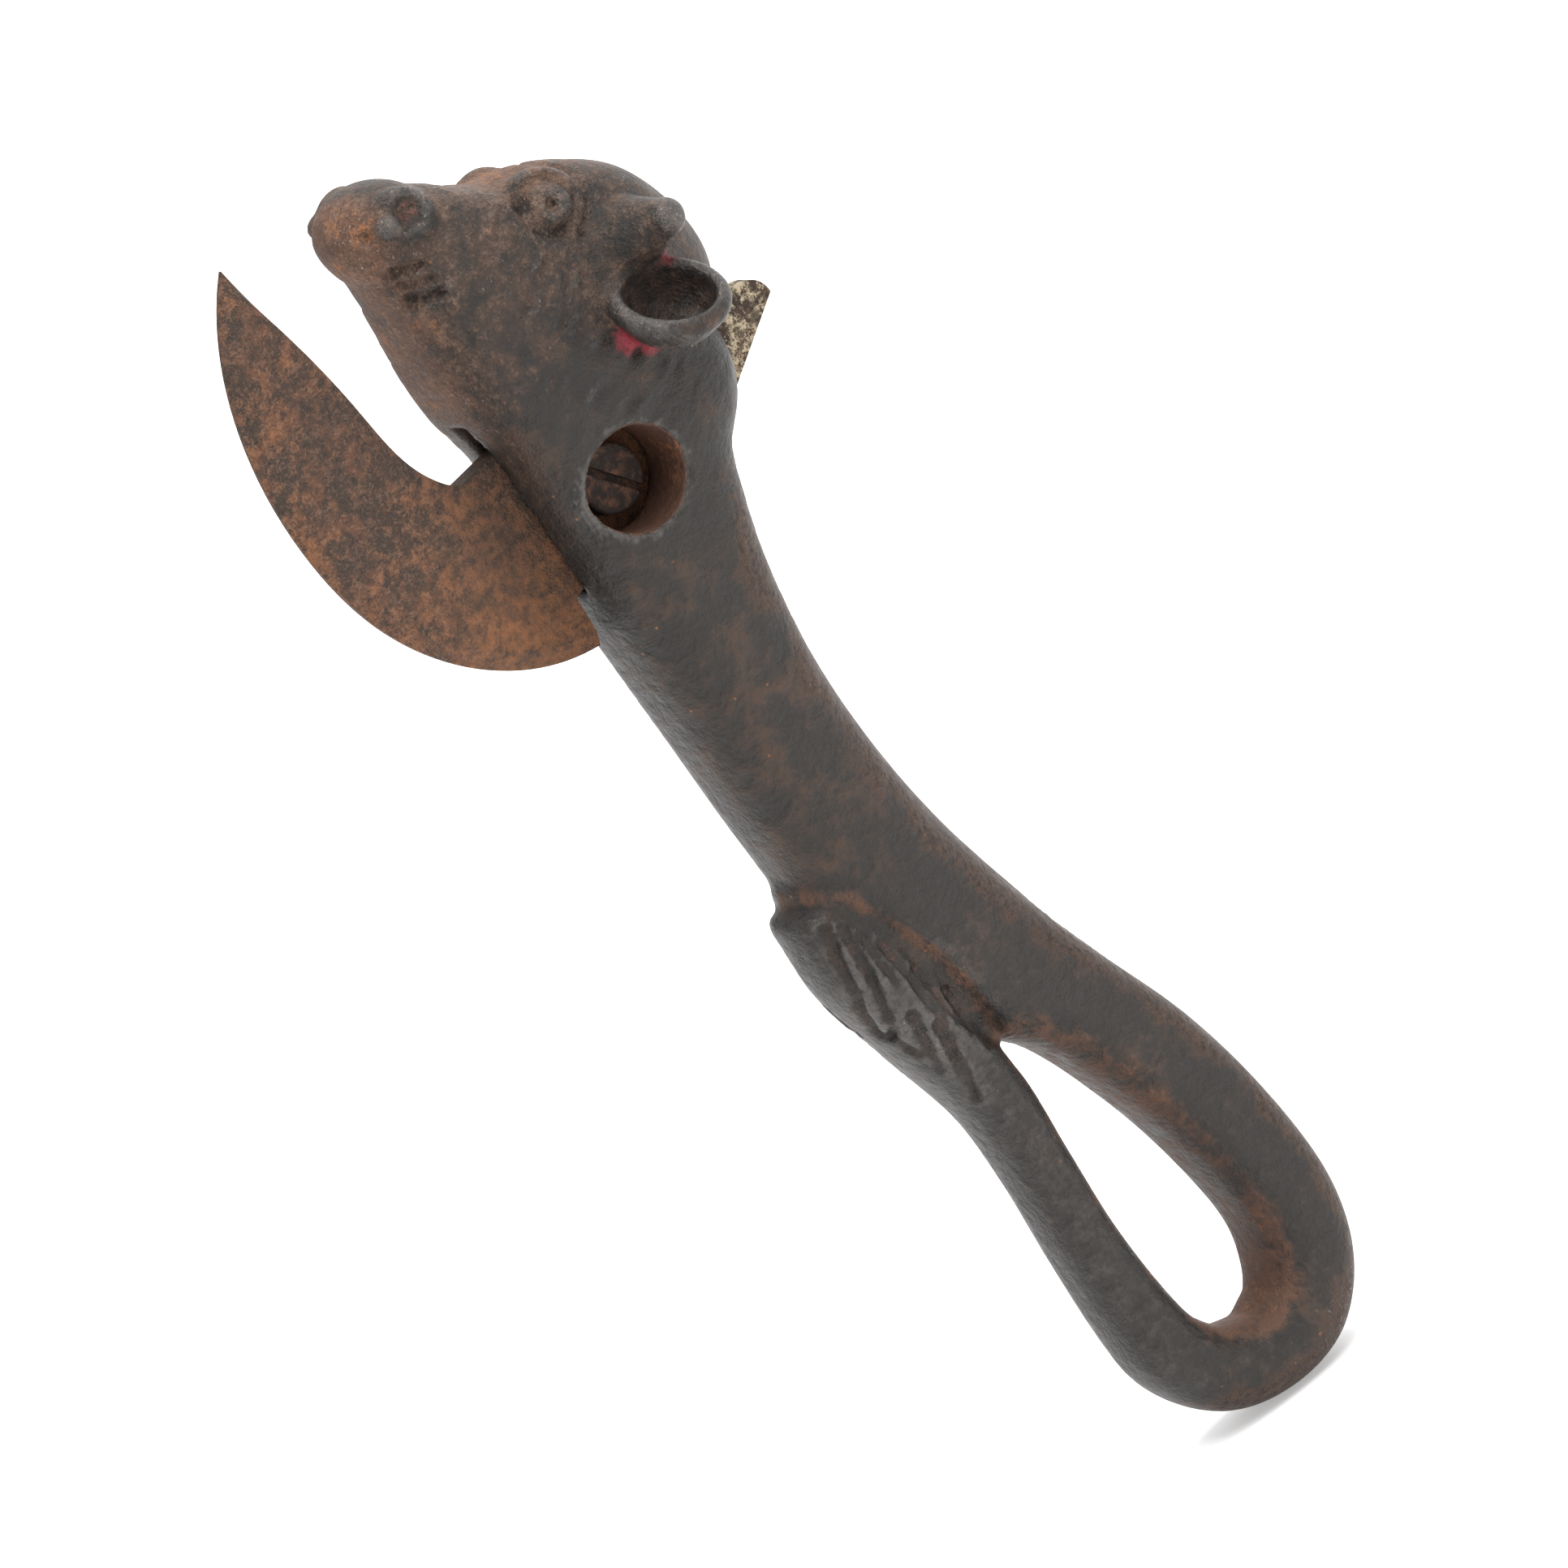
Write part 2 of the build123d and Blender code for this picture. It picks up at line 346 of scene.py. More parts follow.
def model_tuft(clay, lock_depth):
    """The valley along the tuft's edge, then the grooves between its locks of hair."""
    edge = smooth_path(TUFT_EDGE, 6)[:-5]
    valley = skin_line(clay, edge + np.array((-0.6, -0.5), np.float32), 0.3)
    span, shape = rod(clay, valley, (0.6, 1.2))
    clay.carve(shape, 1.2, span)
    for lock in LOCKS:
        span, shape = rod(clay, skin_line(clay, smooth_path(lock, 3), 0.1), (lock_depth, 0.6 * lock_depth))
        clay.carve(shape, 0.3, span)


def model_hide(clay, depth):
    """Curly hide over the cheek and collar: low, broken ridges."""
    x, y, z = clay.x, clay.y, clay.z
    u = 0.80 * x + 0.60 * z
    v = 0.60 * x - 0.80 * z
    bend = 0.9 * np.sin(0.55 * u + 0.8 * y) + 0.7 * np.sin(0.41 * v - 0.5 * y + 1.0)
    ridges = np.sin(2.3 * v + 2.2 * bend) + 0.6 * np.sin(3.7 * v - 1.1 * u + 1.7 * bend)
    ridges *= 0.55 + 0.45 * np.sin(1.3 * u + 0.6 * bend + 0.7 * y)
    collar = np.exp(-((z - 11) / 7.5) ** 2) * np.exp(-((x - 3) / 8.5) ** 2)
    cheek = np.exp(-((x - 1) ** 2 + (z - 23) ** 2) / 40)
    mask = np.clip(collar + 0.8 * cheek, 0, 1)
    clay.depth -= (depth * mask * ridges).astype(np.float32)


def cut_openings(clay, slot_half, well):
    """The blade's slot through the neck, the screw's well on the -Y side and the screw's hole."""
    x, side, z = clay.x, clay.side, clay.z
    low = SLOT_LOW + (x - SLOT_FRONT) * (SLOT_LOW_RISE / SLOT_LENGTH)
    high = SLOT_HIGH + (x - SLOT_FRONT) * (SLOT_HIGH_RISE / SLOT_LENGTH)
    slot = np.maximum(np.maximum(low - z, z - high), np.abs(side) - slot_half)
    clay.carve(slot, 0.35)
    round_screw = np.sqrt(x ** 2 + z ** 2)
    clay.carve(np.maximum(round_screw - well, side + slot_half - 0.2), 0.5)
    clay.carve(np.maximum(np.maximum(round_screw - HOLE_RADIUS, side - HOLE_END), -side), 0.1)


def blurred(values, passes):
    """A box blur along each axis, for telling edges from hollows."""
    for _ in range(passes):
        for axis in range(3):
            values = (np.roll(values, 1, axis) + values + np.roll(values, -1, axis)) / 3
    return values


def sampled(clay, values, points):
    """Grid values at points, by the nearest cell."""
    cells = np.rint((points - clay.low) / clay.pitch).astype(int)
    cells = np.clip(cells, 0, np.array(values.shape) - 1)
    return values[cells[:, 0], cells[:, 1], cells[:, 2]]


def near(points, place, reach):
    """1 at a place and its mirror image, falling to 0 past `reach`."""
    p = points.copy()
    p[:, 1] = -np.abs(p[:, 1])
    return np.exp(-((p - np.array(place)) ** 2).sum(axis=1) / reach ** 2)


def lean(points, stations):
    """Which side of a limb's middle line points lie: -1 at one edge, 1 at the other."""
    path = smooth_path(stations, 4)
    along = np.gradient(path[:, :2], axis=0)
    along /= np.linalg.norm(along, axis=1)[:, None]
    gap = points[:, None, ::2] - path[None, :, :2]
    nearest = (gap ** 2).sum(axis=2).argmin(axis=1)
    gap, along = gap[np.arange(len(points)), nearest], along[nearest]
    return (gap[:, 0] * along[:, 1] - gap[:, 1] * along[:, 0]) / path[nearest, 2]


def step(values, low, high):
    """0 below `low`, 1 above `high`, even between."""
    return np.clip((values - low) / (high - low), 0, 1)


def casting_marks(clay, points):
    """What the finish needs to know of each point."""
    soft = blurred(clay.depth, 4)
    proud = sampled(clay, soft - clay.depth, points)
    x, y, z = points.T
    side = -np.abs(y)
    radius = np.hypot(x, z)
    around_loop = lean(points, NECK[7:] + TAIL[3:9])
    inner_wall = step(around_loop, 0.25, 0.7) * step(-z, 62, 74)
    back = step(-lean(points, NECK), 0.05, 0.6) * step(-z, -4, 12)
    throat = step(-x, 7.5, 10.5) * step(z, -12, -4) * step(side, -8.6, -7.0)
    well = (radius < 5.7) * (y < 0)
    muzzle = near(points, (-9, -2, 40), 7)
    forehead = near(points, (9, -1, 34), 9)
    loop_bottom = near(points, (13.5, 0, -112), 7)
    rust = np.clip((0.6 + 0.4 * loop_bottom) * inner_wall + 0.8 * throat + well + 0.45 * muzzle
                   + forehead, 0, 1)
    edge = skin_line(clay, smooth_path(TUFT_EDGE, 6)[:, :2] + 0.3)
    band = np.max([near(points, place, 1.5) for place in edge], axis=0)
    strands = [place for lock in LOCKS for place in skin_line(clay, smooth_path(lock, 6))]
    hair = np.max([near(points, place, 0.7) for place in strands], axis=0)
    rust = np.maximum(rust, np.maximum(0.75 * band, 0.45 * hair))
    cast = np.clip(step(z, 2, 16) * 0.7 + 0.4 * back + 0.45 * rust + 0.35 * forehead
                   - 0.25 * near(points, (-2, -10, 14), 8), 0, 1)
    # painted sheen: the grip's lower bars are lightened towards the worn iron colour in place of their
    # highlights
    grip_sheen = 0.2 * step(-z, 48, 60) * (1 - inner_wall) * (1 - back)
    # painted highlights on the horn's tip and the muzzle's bump
    tip_highlights = near(points, (15.6, -14.0, 21.6), 2.2) + near(points, (-8.7, -7.5, 36.5), 1.3)
    # real wear on the proud edges, with the painted grip sheen and tip highlights added in
    wear_and_sheen = np.clip(step(proud, 0.02, 0.45) + grip_sheen + 0.3 * tip_highlights, 0, 1)
    paint = (near(points, (6.6, -11.0, 12.7), 2.4) + 0.9 * near(points, (9.2, -11.0, 10.9), 2.2)
             + 0.85 * near(points, (14.6, -10.8, 17.0), 1.9)
             + 0.35 * near(points, (10.6, -10.0, 16.4), 3.0) + 0.35 * near(points, (14, -6, 25), 5)
             + 0.25 * near(points, (-5, -6, 38), 5) + 0.3 * band + 0.4 * hair
             + 0.45 * near(points, (-6.2, -8.5, 36.6), 1.8))
    paint *= 1 - 0.85 * near(points, (11.6, -13.2, 15.0), 3.6)
    dirt = (0.5 * near(points, (11.4, -5.5, -9.0), 3.2) + 0.8 * near(points, (13.5, -9.5, 8.0), 2.4)
            + 0.45 * near(points, (0, -10, 21), 5.5)) * (y < 0)
    return {"wear_and_sheen": wear_and_sheen, "shade_in_hollows": step(-proud, 0.02, 0.4), "rust": rust,
            "cast": cast, "back": back, "paint": np.clip(paint, 0, 1), "dirt": np.clip(dirt, 0, 1)}


def mesh_from_clay(clay, name):
    """A closed, smooth-shaded mesh of the clay's surface, in metres in the frame."""
    grid = openvdb.FloatGrid(clay.pitch * 3)
    grid.copyFromArray(np.ascontiguousarray(np.clip(clay.depth, -clay.pitch * 3, clay.pitch * 3)))
    points, triangles, quads = grid.convertToPolygons(isovalue=0.0, adaptivity=0.0)
    points = points * clay.pitch + clay.low
    mesh = bpy.data.meshes.new(name)
    faces = [list(face[::-1]) for face in quads] + [list(face[::-1]) for face in triangles]
    mesh.from_pydata((points * MM + np.array(AXIS)).tolist(), [], faces)
    mesh.shade_smooth()
    return mesh, points


def check_closed(mesh, name):
    """Raise unless the sculpt has faces and every edge joins two of them."""
    if 2 * len(mesh.edges) != len(mesh.loops):
        raise RuntimeError(name + " isn't a closed surface")
    if not mesh.polygons:
        raise RuntimeError(name + " came out empty")


# ---- materials ----
class Signal:
    """A number on a wire of a material: arithmetic on it adds Math nodes."""

    def __init__(self, finish, socket):
        self.finish, self.socket = finish, socket

    def math(self, operation, *values):
        return self.finish.node("ShaderNodeMath", {"operation": operation}, dict(enumerate(values)))

    def __add__(self, other):
        return self.math("ADD", self, other)

    def __sub__(self, other):
        return self.math("SUBTRACT", self, other)

    def __rsub__(self, other):
        return self.math("SUBTRACT", other, self)

    def __mul__(self, other):
        return self.math("MULTIPLY", self, other)

    __radd__ = __add__
    __rmul__ = __mul__

    def over(self, low, high):
        """0 below `low`, 1 above `high`, smooth between."""
        settings = {"interpolation_type": "SMOOTHSTEP"}
        values = {"Value": self, "From Min": low, "From Max": high}
        return self.finish.node("ShaderNodeMapRange", settings, values)

    def clipped(self):
        return self.finish.node("ShaderNodeMath", {"operation": "ADD", "use_clamp": True}, {0: self, 1: 0.0})


class Finish:
    """One material, built up wire by wire."""

    def __init__(self, name):
        self.material = bpy.data.materials.new(name)
        self.material.use_nodes = True
        self.tree = self.material.node_tree
        self.shader = self.tree.nodes["Principled BSDF"]
        spot = self.node("ShaderNodeTexCoord", {}, {}, "Object")
        self.place = self.node("ShaderNodeVectorMath", {"operation": "SCALE"}, {0: spot, "Scale": 1 / MM})

    def node(self, kind, settings, values, output=0):
        """Any node: its settings first, then its sockets' values or links."""
        node = self.tree.nodes.new(kind)
        for key, value in settings.items():
            setattr(node, key, value)
        for key, value in values.items():
            if isinstance(value, Signal):
                self.tree.links.new(value.socket, node.inputs[key])
            else:
                node.inputs[key].default_value = value
        return Signal(self, node.outputs[output])

    def noise(self, size, detail=4.0, roughness=0.55, distortion=0.0, place=None):
        """Noise whose features are about `size` mm."""
        values = {"Vector": place or self.place, "Scale": 1 / size, "Detail": detail,
                  "Roughness": roughness, "Distortion": distortion}
        raw = self.node("ShaderNodeTexNoise", {}, values)
        return self.node("ShaderNodeMapRange", {}, {"Value": raw, "From Min": 0.3, "From Max": 0.7})

    def stretched(self, scale, turn=0.0):
        """The place, stretched by `scale` along each axis after a turn about Y."""
        values = {"Vector": self.place, "Rotation": (0, math.radians(turn), 0), "Scale": scale}
        return self.node("ShaderNodeMapping", {"vector_type": "TEXTURE"}, values)

    def pits(self, size):
        """Small round spots about `size` mm apart: 0 at their middles."""
        return self.node("ShaderNodeTexVoronoi", {}, {"Vector": self.place, "Scale": 1 / size})

    def mark(self, name):
        """A mark left on the mesh by the sculptor."""
        return self.node("ShaderNodeAttribute", {"attribute_name": name}, {}, "Fac")

    def blend(self, mask, below, above):
        """One colour over another where the mask is 1."""
        return self.node("ShaderNodeMix", {"data_type": "RGBA"}, {0: mask, 6: below, 7: above}, 2)

    def relief(self, height, depth, below=None):
        """Bumps `depth` mm deep."""
        values = {"Strength": 1.0, "Distance": depth * MM, "Height": height}
        if below:
            values["Normal"] = below
        return self.node("ShaderNodeBump", {}, values)

    def finish(self, **sockets):
        """Set or link the shader's own sockets, named with underscores for spaces."""
        for key, value in sockets.items():
            socket = self.shader.inputs[key.replace("_", " ")]
            if isinstance(value, Signal):
                self.tree.links.new(value.socket, socket)
            else:
                socket.default_value = value
        return self.material


def rgba(colour):
    return (*colour, 1.0)


def worn_iron(colours):
    """Old cast iron: slate skin, brown stretches, brown and orange rust, traces of red paint, with painted
    sheen and glints on high spots and painted shade in hollows.
    """
    f = Finish("worn_cast_iron")
    wear_and_sheen, shade_in_hollows, rust, cast = (f.mark(name) for name in ("wear_and_sheen", "shade_in_hollows", "rust", "cast"))
    back, paint, dirt = (f.mark(name) for name in ("back", "paint", "dirt"))
    broad, patch, middle = f.noise(16, 3), f.noise(5, 5, 0.6, 0.5), f.noise(1.6, 5, 0.62)
    fine, grain = f.noise(0.6, 4, 0.7), f.noise(0.28, 2, 0.7)
    brown = (broad * 0.35 + patch * 0.35 + middle * 0.3 + cast * 0.28 - wear_and_sheen * 0.3).over(0.45, 0.8)
    skin = f.blend(brown, rgba(colours.iron), rgba(colours.iron_brown))
    # lighter worn iron: real wear on the proud edges, and painted sheen and highlights on the grip and tips
    polish_and_sheen = (wear_and_sheen * 1.1 + middle * 0.3 + fine * 0.2).over(0.45, 1.1)
    skin = f.blend(polish_and_sheen * 0.8, skin, rgba(colours.iron_wear_and_sheen))
    blotches = (back * 0.6 + patch * 0.45 + fine * 0.3).over(0.72, 0.92)
    skin = f.blend(blotches * 0.9, skin, rgba(colours.blotch))
    skin = f.blend(blotches * (1 - fine).over(0.45, 0.7) * 0.6, skin, rgba(colours.soot))
    old = (rust * 0.75 + patch * 0.2 + middle * 0.3 - wear_and_sheen * 0.3).over(0.5, 0.95)
    skin = f.blend(old * 0.9, skin, rgba(colours.rust_brown))
    streaks = f.noise(0.7, 4, 0.7, 0.4, f.stretched((1, 1, 3.0), 20))
    dust = (cast * 0.34 + fine * 0.3 + middle * 0.2 + patch * 0.15 + grain * 0.2).over(0.62, 1.12)
    skin = f.blend(dust * 0.6, skin, rgba(colours.dust))
    orange = (rust * 0.26 + cast * 0.12 + fine * 0.3 + streaks * 0.3 + patch * 0.35).over(0.84, 1.12)
    skin = f.blend(orange * 0.7, skin, rgba(colours.rust_orange))
    specks = (1 - f.pits(1.6).over(0.03, 0.14)) * patch.over(0.62, 0.74)
    skin = f.blend(specks * 0.6, skin, rgba(colours.rust_orange))
    red = (paint * 1.0 + middle * 0.3 + fine * 0.2).over(0.62, 1.1)
    skin = f.blend(red * 0.85, skin, rgba(colours.red_paint))
    pale = (dirt * 0.8 + fine * 0.4 + middle * 0.2).over(0.8, 1.05)
    skin = f.blend(pale * 0.7, skin, rgba(colours.pale_dirt))
    # painted shade: the hollows are darkened towards the soot colour, broken up by noise and kept off the rust
    hollow_shade = (shade_in_hollows * 0.9 - rust * 0.45 + (1 - middle) * 0.4 + (1 - grain) * 0.35
              + cast * 0.1).over(0.66, 1.15)
    skin = f.blend(hollow_shade * 0.85, skin, rgba(colours.soot))
    # painted highlights: pale specks on the grains in place of specular glints
    painted_glints = (wear_and_sheen * 0.12 + cast * 0.12 + grain * 0.75 + broad * 0.2).over(0.9, 1.05)
    skin = f.blend(painted_glints * 0.6, skin, rgba(colours.glint_highlight))
    rough = 0.36 + old * 0.14 + cast * 0.1 + orange * 0.14 + middle * 0.14 - painted_glints * 0.2 - polish_and_sheen * 0.08
    bump = f.relief(patch * 0.6 + middle * 0.6, 0.30)
    bump = f.relief((fine * 0.7 + grain * 0.4 + streaks * 0.3) * (0.25 + cast * 0.75), 0.20, bump)
    metal = 0.45 + polish_and_sheen * 0.2 - old * 0.3 - red * 0.3 - dust * 0.2
    return f.finish(Base_Color=skin, Roughness=rough.clipped(), Metallic=metal.clipped(), Normal=bump,
                    Specular_IOR_Level=0.27)


def rusted_plate(colours):
    """The blade: dark brown sheet steel under mottled rust, with pale crust on its heel."""
    f = Finish("rusted_blade_steel")
    broad, patch, middle = f.noise(14, 3, 0.6), f.noise(4, 5, 0.65, 0.3), f.noise(1.3, 5, 0.68)
    fine, grain = f.noise(0.5, 3, 0.7), f.noise(0.25, 2, 0.6)
    rusted = (middle * 0.5 + patch * 0.5).over(0.35, 0.7)
    skin = f.blend(rusted, rgba(colours.dark_steel), rgba(colours.rust_brown))
    orange = (broad * 0.45 + patch * 0.25 + middle * 0.2 + fine * 0.2).over(0.5, 0.85)
    skin = f.blend(orange * 0.45, skin, rgba(colours.rust_orange))
    dust = (fine * 0.5 + grain * 0.3 + middle * 0.3).over(0.5, 0.9)
    skin = f.blend(dust * 0.3, skin, rgba(colours.dust))
    soot = ((1 - middle) * 0.35 + (1 - grain) * 0.55).over(0.5, 0.85)
    skin = f.blend(soot * 0.5, skin, rgba(colours.soot))
    x, z = (f.node("ShaderNodeSeparateXYZ", {}, {0: f.place}, axis) for axis in (0, 2))
    low = (z * -1 + broad * 8).over(-126, -112) * x.over(-26, -16)
    skin = f.blend(low * middle * 0.6, skin, rgba(colours.rust_orange))
    skin = f.blend((x + fine * 6).over(-15, -7) * 0.45, skin, rgba(colours.soot))
    heel = x.over(16.0, 19.0)
    crust = heel * (patch * 0.6 + fine * 0.5).over(0.45, 0.7)
    skin = f.blend(crust * 0.85, skin, rgba(colours.pale_dirt))
    stain = heel * (middle * 0.6 + fine * 0.4).over(0.5, 0.62)
    skin = f.blend(stain * 0.8, skin, rgba(colours.soot))
    rough = 0.5 + orange * 0.2 + middle * 0.15
    bump = f.relief(middle * 0.6 + fine * 0.5 + grain * 0.3, 0.16)
    return f.finish(Base_Color=skin, Roughness=rough.clipped(), Metallic=(0.35 - orange * 0.3).clipped(),
                    Normal=bump, Specular_IOR_Level=0.25)


def dark_screw_steel(colours):
    """The clamp screw: nearly black brown rust."""
    f = Finish("dark_screw_steel")
    middle, fine = f.noise(1.2, 5, 0.65), f.noise(0.25, 3, 0.7)
    skin = f.blend(middle.over(0.3, 0.9) * 0.7, rgba(colours.screw_dark), rgba(colours.rust_brown))
    orange = (middle * 0.6 + fine * 0.6).over(0.68, 0.84)
    skin = f.blend(orange * 0.2, skin, rgba(colours.rust_orange))
    bump = f.relief(middle * 0.6 + fine * 0.5, 0.14)
    return f.finish(Base_Color=skin, Roughness=(0.5 + fine * 0.3).clipped(), Metallic=0.3, Normal=bump)


def pale_paper():
    f = Finish("pale_studio_floor")
    tone = f.blend(f.noise(260, 2), (0.86, 0.86, 0.86, 1), (0.9, 0.9, 0.9, 1))
    return f.finish(Base_Color=tone, Roughness=0.85, Emission_Color=(1, 1, 1, 1), Emission_Strength=0.35)


# ---- settings ----
def colour(name, description, value):
    return FloatVectorProperty(name=name, description=description, subtype="COLOR", default=value,
                               min=0.0, max=1.0)


def length(name, description, value):
    """A length in millimetres."""
    return FloatProperty(name=name, description=description, default=value, min=0.0)


class OpenerColours(bpy.types.PropertyGroup):
    iron: colour("Iron", "Slate skin of the casting", (0.031, 0.028, 0.026))
    iron_brown: colour("Brown iron", "Browner stretches of the skin", (0.062, 0.041, 0.031))
    # colour of real wear on high spots, also used for the painted sheen and highlights
    iron_wear_and_sheen: colour("Worn iron", "Handled high spots", (0.095, 0.088, 0.083))
    blotch: colour("Blotch", "Dark brown blotches along the back", (0.058, 0.036, 0.026))
    rust_brown: colour("Brown rust", "Old, even rust", (0.105, 0.053, 0.034))
    rust_orange: colour("Orange rust", "Fresh rust", (0.32, 0.125, 0.045))
    dust: colour("Dust", "Rubbed, dusty rust on high grains", (0.24, 0.16, 0.118))
    red_paint: colour("Red paint", "What is left of the paint", (0.22, 0.020, 0.030))
    pale_dirt: colour("Pale dirt", "Dried residue", (0.46, 0.38, 0.26))
    # soot colour, also used for the painted shade in the casting's hollows
    soot: colour("Soot", "Dark in hollows", (0.014, 0.010, 0.008))
    # colour of the painted glint highlights
    glint_highlight: colour("Glint", "Bare metal on the sharpest grains", (0.50, 0.49, 0.47))
    dark_steel: colour("Dark steel", "Sheet steel under the rust", (0.052, 0.036, 0.028))
    screw_dark: colour("Screw", "The screw's dark skin", (0.022, 0.014, 0.011))


class CastingSettings(bpy.types.PropertyGroup):
    pitch: length("Pitch", "Spacing of the sculpt's grid, mm", 0.425)
    hide_depth: length("Hide", "Height of the curly hide, mm", 0.24)
    slot_half: length("Slot", "Half the blade slot's width, mm", 1.26)
    well_radius: length("Well", "Radius of the screw's well, mm", 5.45)
    lock_depth: length("Locks", "Depth of the grooves between the tuft's locks, mm", 0.85)


class StageSettings(bpy.types.PropertyGroup):
    azimuth: FloatProperty(name="Azimuth", description="Camera's turn round the object, degrees", default=-25.0)
    elevation: FloatProperty(name="Elevation", description="Camera's height angle, degrees", default=17.0)
    roll: FloatProperty(name="Roll", description="Camera's roll, degrees", default=31.0)
    lens: FloatProperty(name="Lens", description="Focal length, mm", default=1200.0)
    field: length("Field", "Width of the view at the object, mm", 157.5)
    key: FloatProperty(name="Key light", description="Power of the main soft light, W", default=24.0,
                       unit="POWER")
    fill: FloatProperty(name="Fill light", description="Power of the side light, W", default=5.0, unit="POWER")
    world: FloatProperty(name="World", description="Brightness of the surround", default=0.6)


class OpenerSettings(bpy.types.PropertyGroup):
    casting: PointerProperty(type=CastingSettings)
    colours: PointerProperty(type=OpenerColours)
    stage: PointerProperty(type=StageSettings)


# ---- operators ----
class OPENER_OT_casting(bpy.types.Operator):
    """Sculpt the iron casting: neck and grip, tail loop, tuft and bull's head"""
    bl_idname = "opener.casting"
    bl_label = "Casting"

    def execute(self, context):
        settings = context.scene.opener.casting
        low, high = (np.array(corner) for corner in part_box("casting"))
        low, high = ((corner - np.array(AXIS)) / MM for corner in (low, high))
        clay = Clay(low - MARGIN, high + MARGIN, settings.pitch)
        clay.add(limb(clay, NECK))
        crotch = np.clip((clay.z + 88) / 14, 0, 1)   # the fillet between the bars, none round the loop
        clay.add(limb(clay, TAIL), 0.05 + 1.9 * crotch)
        model_skull(clay)
        model_hide(clay, settings.hide_depth)
        model_face(clay)
        model_tuft(clay, settings.lock_depth)
        cut_openings(clay, settings.slot_half, settings.well_radius)
        mesh, points = mesh_from_clay(clay, "bull_casting")
        check_closed(mesh, "the casting")
        for name, values in casting_marks(clay, points).items():
            mesh.attributes.new(name, "FLOAT", "POINT").data.foreach_set("value", values.astype(np.float32))
        mesh.materials.append(worn_iron(context.scene.opener.colours))
        piece = bpy.data.objects.new("bull_casting", mesh)
        context.scene.collection.objects.link(piece)
        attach(piece, "casting")
        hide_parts("casting")
        return {"FINISHED"}


class OPENER_OT_blade(bpy.types.Operator):
    """Finish the blade plate in mottled rust"""
    bl_idname = "opener.blade"
    bl_label = "Blade"

    def execute(self, context):
        blade = frame["nodes"]["blade"]
        blade.data.materials.clear()
        blade.data.materials.append(rusted_plate(context.scene.opener.colours))
        return {"FINISHED"}


class OPENER_OT_screw(bpy.types.Operator):
    """Finish the clamp screw in dark rust"""
    bl_idname = "opener.screw"
    bl_label = "Clamp screw"

    def execute(self, context):
        screw = frame["nodes"]["clamp_screw"]
        screw.data.materials.clear()
        screw.data.materials.append(dark_screw_steel(context.scene.opener.colours))
        return {"FINISHED"}


FLOOR_SIZE = 60.0
AIM = Vector((0.6, 0, -37.8)) * MM   # the middle of the view, from the clamp screw's axis


def soft_light(context, name, place, aim, size, power):
    """A square soft light at a place, facing another."""
    light = bpy.data.lights.new(name, "AREA")
    light.size = size
    light.energy = power
    lamp = bpy.data.objects.new(name, light)
    lamp.location = place
    lamp.rotation_euler = (Vector(aim) - Vector(place)).to_track_quat("-Z", "Y").to_euler()
    context.scene.collection.objects.link(lamp)


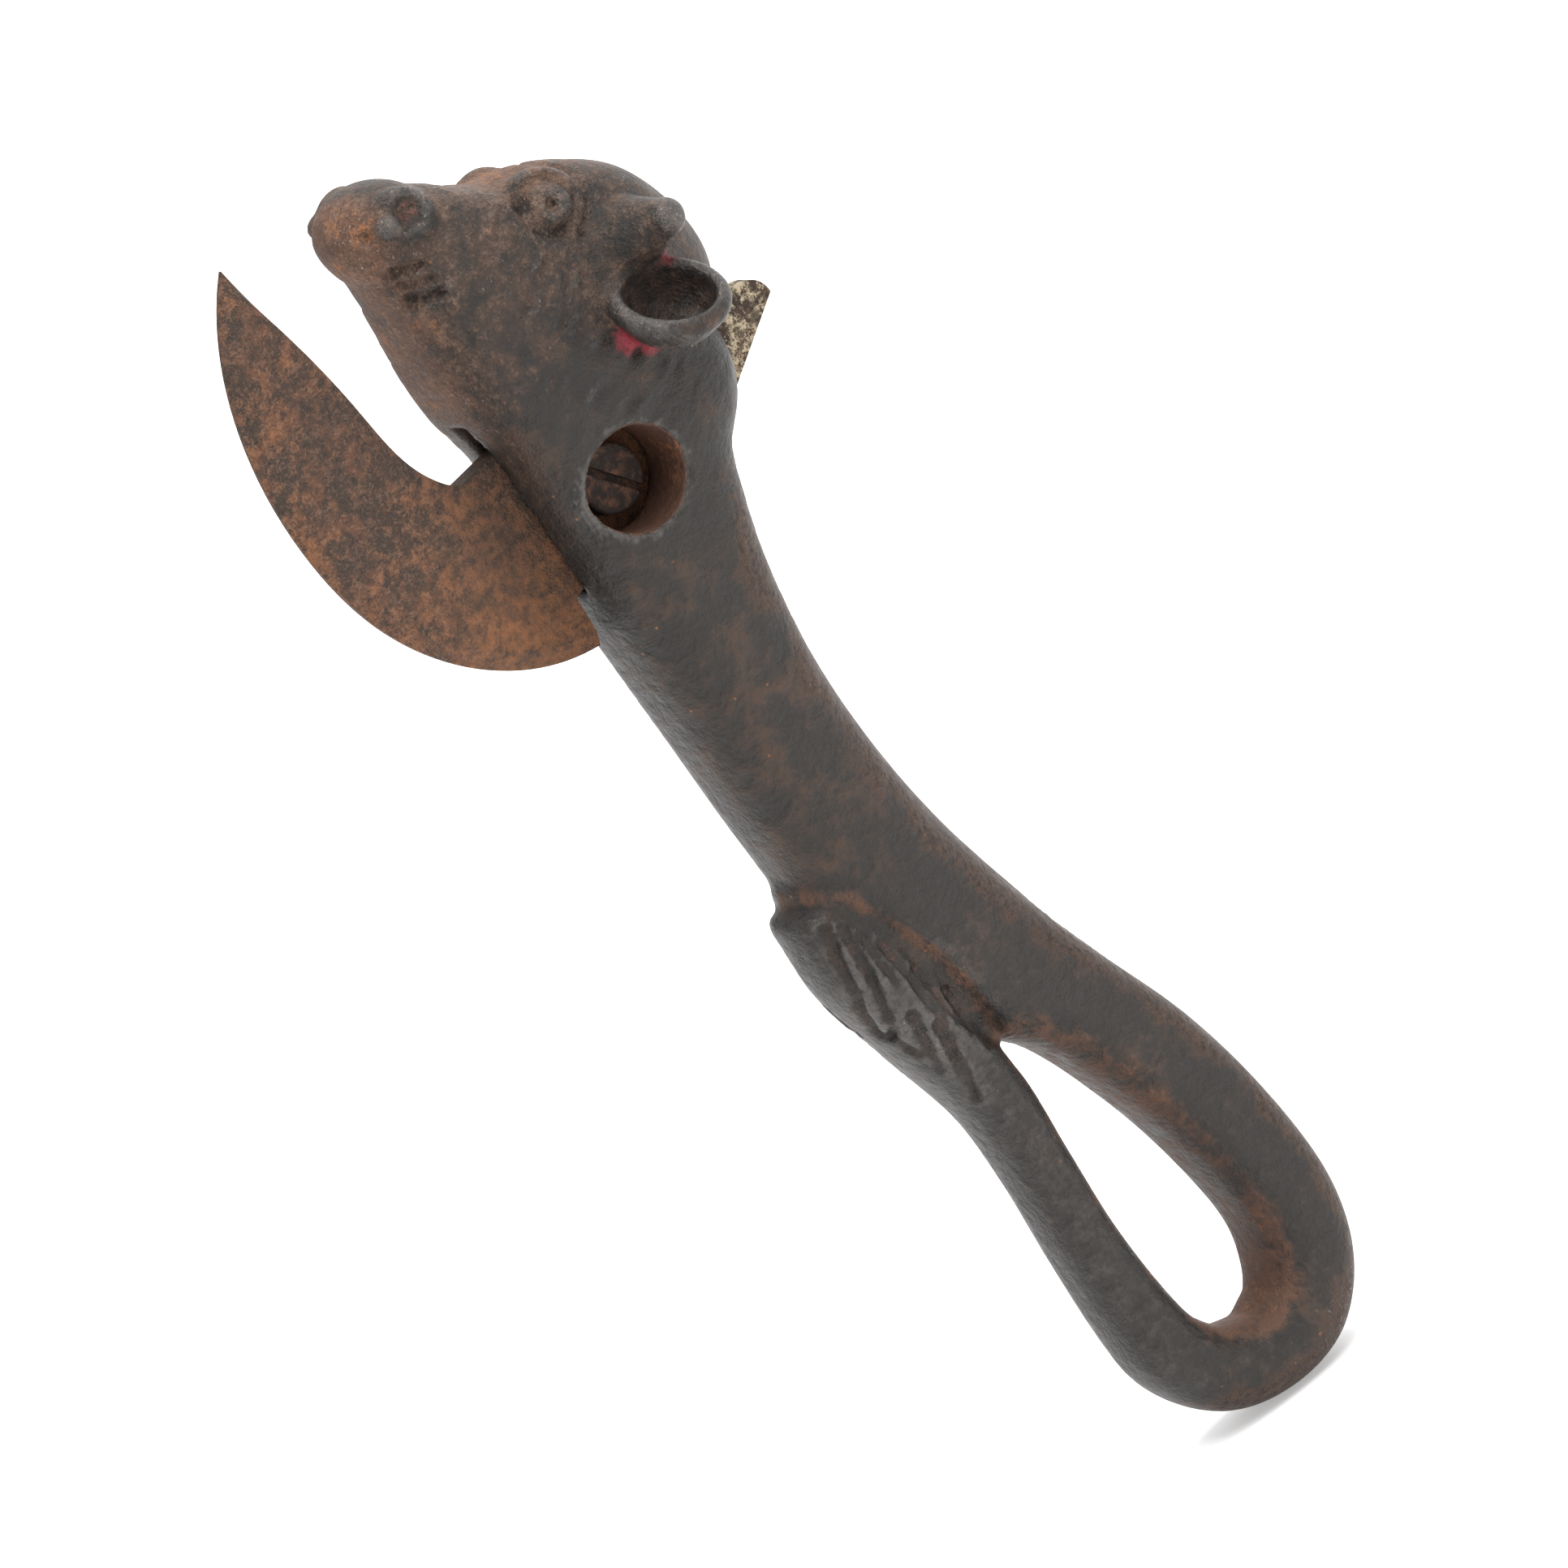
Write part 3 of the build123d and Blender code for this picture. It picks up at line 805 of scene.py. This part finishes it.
class OPENER_OT_stage(bpy.types.Operator):
    """Set up the pale floor, the soft lights and the camera"""
    bl_idname = "opener.stage"
    bl_label = "Stage"

    def execute(self, context):
        stage = context.scene.opener.stage
        low, high = (Vector(corner) for corner in CAD_BOX)
        mesh = bpy.data.meshes.new("floor")
        half = FLOOR_SIZE / 2
        corners = [(-half, -half, low.z), (half, -half, low.z), (half, half, low.z), (-half, half, low.z)]
        mesh.from_pydata(corners, [], [(0, 1, 2, 3)])
        mesh.materials.append(pale_paper())
        floor = bpy.data.objects.new("floor", mesh)
        context.scene.collection.objects.link(floor)

        back, right, up = self.view_axes(stage)
        aim = AXIS + AIM
        distance = stage.field * MM * stage.lens / 36
        camera_data = bpy.data.cameras.new("camera")
        camera_data.lens = stage.lens
        camera_data.clip_end = 100
        camera = bpy.data.objects.new("camera", camera_data)
        turn = Matrix((right, up, back)).transposed().to_4x4()
        camera.matrix_world = Matrix.Translation(aim + back * distance) @ turn
        context.scene.collection.objects.link(camera)
        context.scene.camera = camera

        middle = (low + high) / 2
        soft_light(context, "key_light", middle + 0.9 * up - 0.3 * right + 0.5 * back, middle, 1.2, stage.key)
        soft_light(context, "fill_light", middle + 0.9 * right + 0.4 * back, middle, 1.0, stage.fill)
        soft_light(context, "back_light", middle - 0.8 * back + 0.7 * up, middle, 1.0, stage.fill)
        world = bpy.data.worlds.new("studio")
        world.use_nodes = True
        world.node_tree.nodes["Background"].inputs["Color"].default_value = (1, 1, 1, 1)
        world.node_tree.nodes["Background"].inputs["Strength"].default_value = stage.world
        context.scene.world = world
        context.scene.view_settings.view_transform = "Standard"
        return {"FINISHED"}

    def view_axes(self, stage):
        """The camera's back, right and up directions."""
        az, el, roll = (math.radians(a) for a in (stage.azimuth, stage.elevation, stage.roll))
        back = Vector((math.sin(az) * math.cos(el), -math.cos(az) * math.cos(el), math.sin(el)))
        level = Vector((math.cos(az), math.sin(az), 0))
        rise = back.cross(level)
        right = level * math.cos(roll) - rise * math.sin(roll)
        up = level * math.sin(roll) + rise * math.cos(roll)
        return back, right, up


class OPENER_PT_panel(bpy.types.Panel):
    """The opener's pieces"""
    bl_idname = "OPENER_PT_panel"
    bl_label = "Bull's-head opener"
    bl_space_type = "VIEW_3D"
    bl_region_type = "UI"
    bl_category = "Opener"

    def draw(self, context):
        for piece in PIECES:
            self.layout.operator(piece.bl_idname)


PIECES = (OPENER_OT_casting, OPENER_OT_blade, OPENER_OT_screw, OPENER_OT_stage)
CLASSES = (OpenerColours, CastingSettings, StageSettings, OpenerSettings, *PIECES, OPENER_PT_panel)


def register():
    for cls in CLASSES:
        bpy.utils.register_class(cls)
    bpy.types.Scene.opener = PointerProperty(type=OpenerSettings)


def unregister():
    del bpy.types.Scene.opener
    for cls in reversed(CLASSES):
        bpy.utils.unregister_class(cls)


def main():
    register()
    bpy.ops.opener.casting()
    bpy.ops.opener.blade()
    bpy.ops.opener.screw()
    bpy.ops.opener.stage()


if __name__ == "__main__":
    main()
